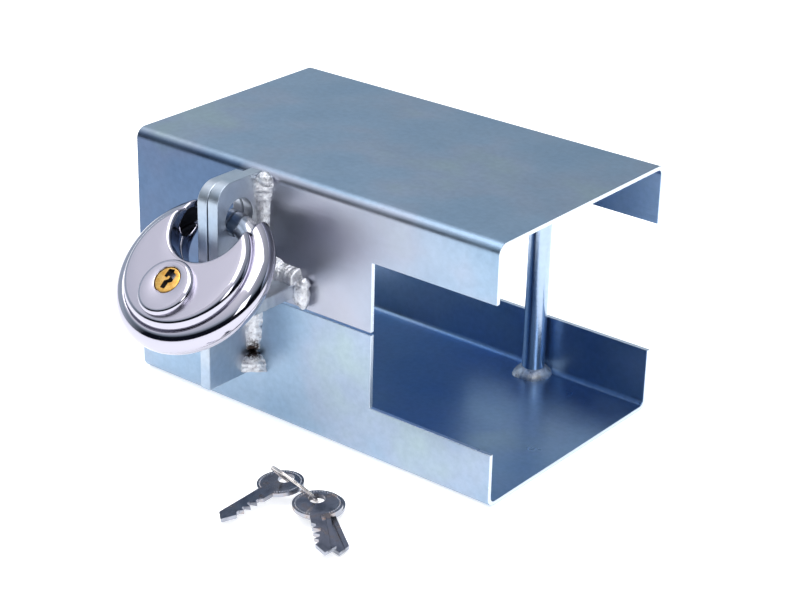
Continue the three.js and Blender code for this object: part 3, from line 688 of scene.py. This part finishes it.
for f in shape.faces:
    middle = f.calc_center_median()
    wall_of_slot = abs(f.normal.z) < 0.3 and (middle.xy - plug_centre.xy).length < 5.1
    f.material_index = 1 if wall_of_slot else 0
bmesh.ops.create_cone(shape, cap_ends=True, segments=32, radius1=tail_radius, radius2=tail_radius,
                      depth=2.2, matrix=Matrix.Translation((0, plug_centre.y, -4.6)))
bmesh.ops.transform(shape, matrix=padlock_place, verts=shape.verts)
make_piece(shape, "plug_barrel", "plug", "turned_brass", ["lock_plug"], brass, shade_painted_keyway, crease=30)


# The shackle: a hardened 10 mm bar bent to a part ring and polished. It slides round inside the
# rim and crosses the notch, and its nose is rounded off.
shackle_steel = stainless("hard polished bar", "#c9c9d0", 0.06, 0.16, 420.0)
shackle_start, shackle_sweep, nose_round = math.radians(-38), math.radians(127.2), 1.3
shape = bmesh.new()
stand_up = Matrix.Translation((ring_radius, 0, 0)) @ Matrix.Rotation(math.pi / 2, 4, "X")
bmesh.ops.create_circle(shape, cap_ends=True, segments=48, radius=shackle_radius, matrix=stand_up)
bmesh.ops.rotate(shape, verts=shape.verts, cent=(0, 0, 0), matrix=Matrix.Rotation(shackle_start, 3, "Z"))
bmesh.ops.spin(shape, geom=list(shape.faces), cent=(0, 0, 0), axis=(0, 0, 1), angle=shackle_sweep,
               steps=90, use_merge=False)
bmesh.ops.remove_doubles(shape, verts=shape.verts, dist=0.001)
ends = [f for f in shape.faces if len(f.verts) > 10]
lips = list({e for f in ends for e in f.edges})
bmesh.ops.bevel(shape, geom=lips, offset=nose_round, segments=4, profile=0.5, affect="EDGES", material=-1)
bmesh.ops.transform(shape, matrix=padlock_place, verts=shape.verts)
make_piece(shape, "shackle_bar", "shackle", "hard_chrome", ["shackle"], shackle_steel, crease=50)


# The keys: stamped nickel-plated brass blanks with a round bow, a beaded border, a milled groove
# and cuts along one edge. Handling has turned the plating grey and a little coppery.
key_metal, tree, surface, place = new_material("worn nickel plated brass")
surface.inputs["Metallic"].default_value = 1.0
wear = add_node(tree, "TexNoise", {"Scale": 150.0, "Detail": 3.0}, Vector=place)
plating = add_node(tree, "ValToRGB", {"stops": [
    (0.32, "#82868f"), (0.52, "#a0a3ad"), (0.66, "#a69a96"), (0.78, "#b39a8a")]}, Fac=wear.outputs["Fac"])
tree.links.new(plating.outputs["Color"], surface.inputs["Base Color"])
rubbed = add_node(tree, "MapRange", {"To Min": 0.16, "To Max": 0.34}, Value=wear.outputs["Fac"])
tree.links.new(rubbed.outputs["Result"], surface.inputs["Roughness"])

bow_long, bow_wide, key_thick, blade_half, key_tip = 8.75, 9.75, 1.6, 3.8, 32.25
hole_back, hole_across, border, border_beads, bead_size = 3.2, 3.3, 0.88, 44, 0.45
groove_low, groove_high, groove_start, groove_deep = 0.4, 2.0, 9.6, 0.7


def key_blank():
    shape = bmesh.new()
    neck = math.asin(blade_half / bow_wide)
    outline = []
    for i in range(61):
        angle = neck + (2 * math.pi - 2 * neck) * i / 60
        outline.append((bow_long * math.cos(angle), bow_wide * math.sin(angle)))
    first, cuts = 12.75, 4
    pitch = (key_tip - 6 - first) / cuts
    for i in range(cuts):
        deep, x = 1.6 + 0.7 * ((i * 2) % 3), first + i * pitch
        outline += [(x, -blade_half), (x + pitch * 0.3, deep - blade_half),
                    (x + pitch * 0.7, deep - blade_half)]
    outline += [(key_tip - 5.5, -blade_half), (key_tip, 3 - blade_half), (key_tip - 3.5, blade_half)]
    points = [shape.verts.new((x, y, 0)) for x, y in outline]
    for i in range(len(points)):
        shape.edges.new((points[i - 1], points[i]))
    bmesh.ops.create_circle(shape, segments=36, radius=hole_across,
                            matrix=Matrix.Translation((-hole_back, 0, 0)))
    bmesh.ops.triangle_fill(shape, use_beauty=True, use_dissolve=False, edges=shape.edges)
    grown = new_verts(bmesh.ops.extrude_face_region(shape, geom=list(shape.faces)))
    bmesh.ops.translate(shape, verts=grown, vec=(0, 0, key_thick))
    for spot, normal in (((0, groove_low, 0), (0, 1, 0)), ((0, groove_high, 0), (0, 1, 0)),
                         ((groove_start, 0, 0), (1, 0, 0))):
        top = [f for f in shape.faces if f.calc_center_median().z > key_thick - 0.01]
        cut_faces(shape, top, spot, normal)
    groove = [f for f in shape.faces if f.calc_center_median().z > key_thick - 0.01
              and groove_low < f.calc_center_median().y < groove_high
              and f.calc_center_median().x > groove_start]
    floor_verts = new_verts(bmesh.ops.extrude_face_region(shape, geom=groove))
    bmesh.ops.delete(shape, geom=[f for f in groove if f.is_valid], context="FACES_ONLY")
    bmesh.ops.translate(shape, verts=floor_verts, vec=(0, 0, -groove_deep))
    for i in range(border_beads):
        angle = neck + (2 * math.pi - 2 * neck) * (i + 0.5) / border_beads
        x, y = bow_long * border * math.cos(angle), bow_wide * border * math.sin(angle)
        for z in (0.1, key_thick - 0.1):
            bmesh.ops.create_icosphere(shape, subdivisions=2, radius=bead_size,
                                       matrix=Matrix.Translation((x, y, z)))
    bmesh.ops.translate(shape, verts=shape.verts, vec=(hole_back, 0, -key_thick / 2))
    return shape


# Each key lies down from the place on the split ring that its hole hangs on.
coil_radius, coil_lean, coil_heading = 11, math.radians(132), math.radians(-12)
ring_place = Matrix.Translation((34.6, -101.7, coil_radius * math.sin(coil_lean) + 1.0))
ring_place = ring_place @ Matrix.Rotation(coil_heading, 4, "Z") @ Matrix.Rotation(coil_lean, 4, "X")
for name, on_ring, heading, dip, roll in (
        ("key_1", 207, -94, 5, 186), ("key_2", 338, -43, 3.6, 0), ("key_3", 319, -35, 3.6, 0)):
    angle = math.radians(on_ring)
    hole = ring_place @ Vector((coil_radius * math.cos(angle), coil_radius * math.sin(angle), 0))
    lie = Matrix.Translation(hole) @ Matrix.Rotation(math.radians(heading), 4, "Z")
    lie = lie @ Matrix.Rotation(math.radians(dip), 4, "Y") @ Matrix.Rotation(math.radians(roll), 4, "X")
    shape = key_blank()
    bmesh.ops.transform(shape, matrix=lie, verts=shape.verts)
    make_piece(shape, name + "_cut", name, "nickel_plate", [name], key_metal, crease=30)


# The split ring: bright spring wire coiled twice round on itself, so that a key can be worked on.
ring_wire, tree, surface, place = new_material("nickel plated spring wire")
surface.inputs["Metallic"].default_value = 1.0
surface.inputs["Base Color"].default_value = linear("#cfc9c6")
drawn = add_node(tree, "TexNoise", {"Scale": 500.0, "Detail": 2.0}, Vector=place)
drawn_polish = add_node(tree, "MapRange", {"To Min": 0.12, "To Max": 0.26}, Value=drawn.outputs["Fac"])
tree.links.new(drawn_polish.outputs["Result"], surface.inputs["Roughness"])

coil_wire, coil_rise, coil_sweep, coil_steps = 0.44, 0.84, math.radians(700), 150
shape = bmesh.new()
wire_at = Matrix.Translation((coil_radius, 0, -coil_rise / 2)) @ Matrix.Rotation(math.pi / 2, 4, "X")
bmesh.ops.create_circle(shape, cap_ends=True, segments=12, radius=coil_wire, matrix=wire_at)
bmesh.ops.spin(shape, geom=list(shape.faces), cent=(0, 0, 0), axis=(0, 0, 1), angle=coil_sweep,
               dvec=(0, 0, coil_rise / coil_steps), steps=coil_steps, use_merge=False)
bmesh.ops.remove_doubles(shape, verts=shape.verts, dist=0.001)
bmesh.ops.transform(shape, matrix=ring_place, verts=shape.verts)
make_piece(shape, "split_ring", "key_ring", "ring_wire", ["key_ring"], ring_wire, crease=50)


# The small metals: ground steel for the hinge pin, the clip and the cam, drawn wire for the springs
# and a rough zinc casting for the lock's core. Each keeps the marks of how it was made.
def bare_metal(name, colour, low, high, metallic=1.0):
    material, tree, surface, place = new_material(name)
    surface.inputs["Metallic"].default_value = metallic
    tone = add_node(tree, "TexNoise", {"Scale": 350.0, "Detail": 3.0}, Vector=place)
    surface.inputs["Base Color"].default_value = linear(colour)
    polish = add_node(tree, "MapRange", {"To Min": low, "To Max": high}, Value=tone.outputs["Fac"])
    tree.links.new(polish.outputs["Result"], surface.inputs["Roughness"])
    relief = add_node(tree, "Bump", {"Strength": 0.1, "Distance": 0.0002}, Height=tone.outputs["Fac"])
    tree.links.new(relief.outputs["Normal"], surface.inputs["Normal"])
    return material


ground_steel = bare_metal("ground hardened steel", "#a9abb0", 0.2, 0.35)
spring_steel = bare_metal("drawn spring steel", "#b5b8be", 0.2, 0.32)
cast_zinc = bare_metal("raw die-cast zinc", "#9c9ea2", 0.4, 0.6)


# The hinge: two leaves of 2 mm strip whose ends are rolled into knuckles round a plain steel pin.
# Each leaf lies on the back of its channel and is welded along its far edge.
hinge_middle, hinge_y, hinge_z, hinge_start, strip_y, strip_thick = -48, 60.3, 82, -86, 57.3, 2
leaf_long, leaf_tall, leaf_off, knuckle_bore, knuckle_outer = 76, 17.7, 13.15, 2.3, 4
knuckle_pitch, knuckle_gap, knuckles, pin_radius, pin_long = 15.28, 0.4, 5, 2, 78


def hinge_leaf(side, first_knuckle):
    shape = bmesh.new()
    strip = bmesh.ops.create_cube(shape, size=1)["verts"]
    bmesh.ops.scale(shape, vec=(leaf_long, strip_thick, leaf_tall), verts=strip)
    bmesh.ops.translate(shape, vec=(hinge_middle, strip_y, hinge_z + side * leaf_off), verts=strip)
    for knuckle in range(first_knuckle, knuckles, 2):
        start = hinge_start + knuckle * knuckle_pitch
        end = start + knuckle_pitch - knuckle_gap
        neck = bmesh.ops.create_cube(shape, size=1)["verts"]
        bmesh.ops.scale(shape, vec=(end - start, strip_thick, 5), verts=neck)
        bmesh.ops.translate(shape, vec=((start + end) / 2, strip_y, hinge_z + side * 2.6), verts=neck)
        corners = ((start, knuckle_bore), (end, knuckle_bore), (end, knuckle_outer), (start, knuckle_outer))
        wall = [shape.verts.new((x, hinge_y, hinge_z + r)) for x, r in corners]
        lines = [shape.edges.new((wall[i - 1], wall[i])) for i in range(4)]
        bmesh.ops.spin(shape, geom=lines + wall, cent=(0, hinge_y, hinge_z), axis=(1, 0, 0),
                       angle=2 * math.pi, steps=48, use_merge=True)
    return shape


lower_leaf = make_piece(hinge_leaf(-1, 0), "hinge_strip_lower", "lower", "zinc_plate", ["hinge_leaf_lower"],
                        plated_plate)
upper_leaf = make_piece(hinge_leaf(1, 1), "hinge_strip_upper", "upper", "zinc_plate", ["hinge_leaf_upper"],
                        plated_plate)
shape = bmesh.new()
lie_down = Matrix.Translation((hinge_middle, hinge_y, hinge_z)) @ Matrix.Rotation(math.pi / 2, 4, "Y")
bmesh.ops.create_cone(shape, cap_ends=True, segments=40, radius1=pin_radius, radius2=pin_radius,
                      depth=pin_long, matrix=lie_down)
hinge_pin = make_piece(shape, "hinge_pin_rod", "lower", "hardened_steel", ["hinge_pin"], ground_steel)
for piece in (lower_leaf, upper_leaf, hinge_pin):
    soften_edges(piece, 0.4, 2)

# One run of weld holds the far edge of each leaf to its channel.
for name, body, side, sizes, seed in (("upper", "upper", 1, [(0, 3.2), (0.5, 2.8), (1, 3.3)], 6.0),
                                      ("lower", "lower", -1, [(0, 3.2), (0.5, 2.9), (1, 3.1)], 8.0)):
    bead = bmesh.new()
    far_edge = hinge_z + side * 22
    weld_bead(bead, (-84, 56, far_edge), (-12, 56, far_edge), (0, 1, 0), (0, 0, side), sizes, seed)
    make_piece(bead, "hinge_bead_" + name, body, "weld_bead", ["hinge_weld_" + name], weld_metal, crease=50)


# The pieces inside the padlock keep their plain shapes, since they only show with the shells off.
finishes = {"zinc_plate": plated_plate, "weld_bead": weld_metal, "polished_stainless": mirror_steel,
            "hard_chrome": shackle_steel, "die_cast_zinc": cast_zinc, "turned_brass": brass,
            "spring_wire": spring_steel, "hardened_steel": ground_steel, "nickel_plate": key_metal,
            "ring_wire": ring_wire}
for part in frame["record"]["subparts"]:
    node = frame["nodes"][part["node"]]
    node.data.materials.clear()
    node.data.materials.append(finishes[part["material_slot"]])
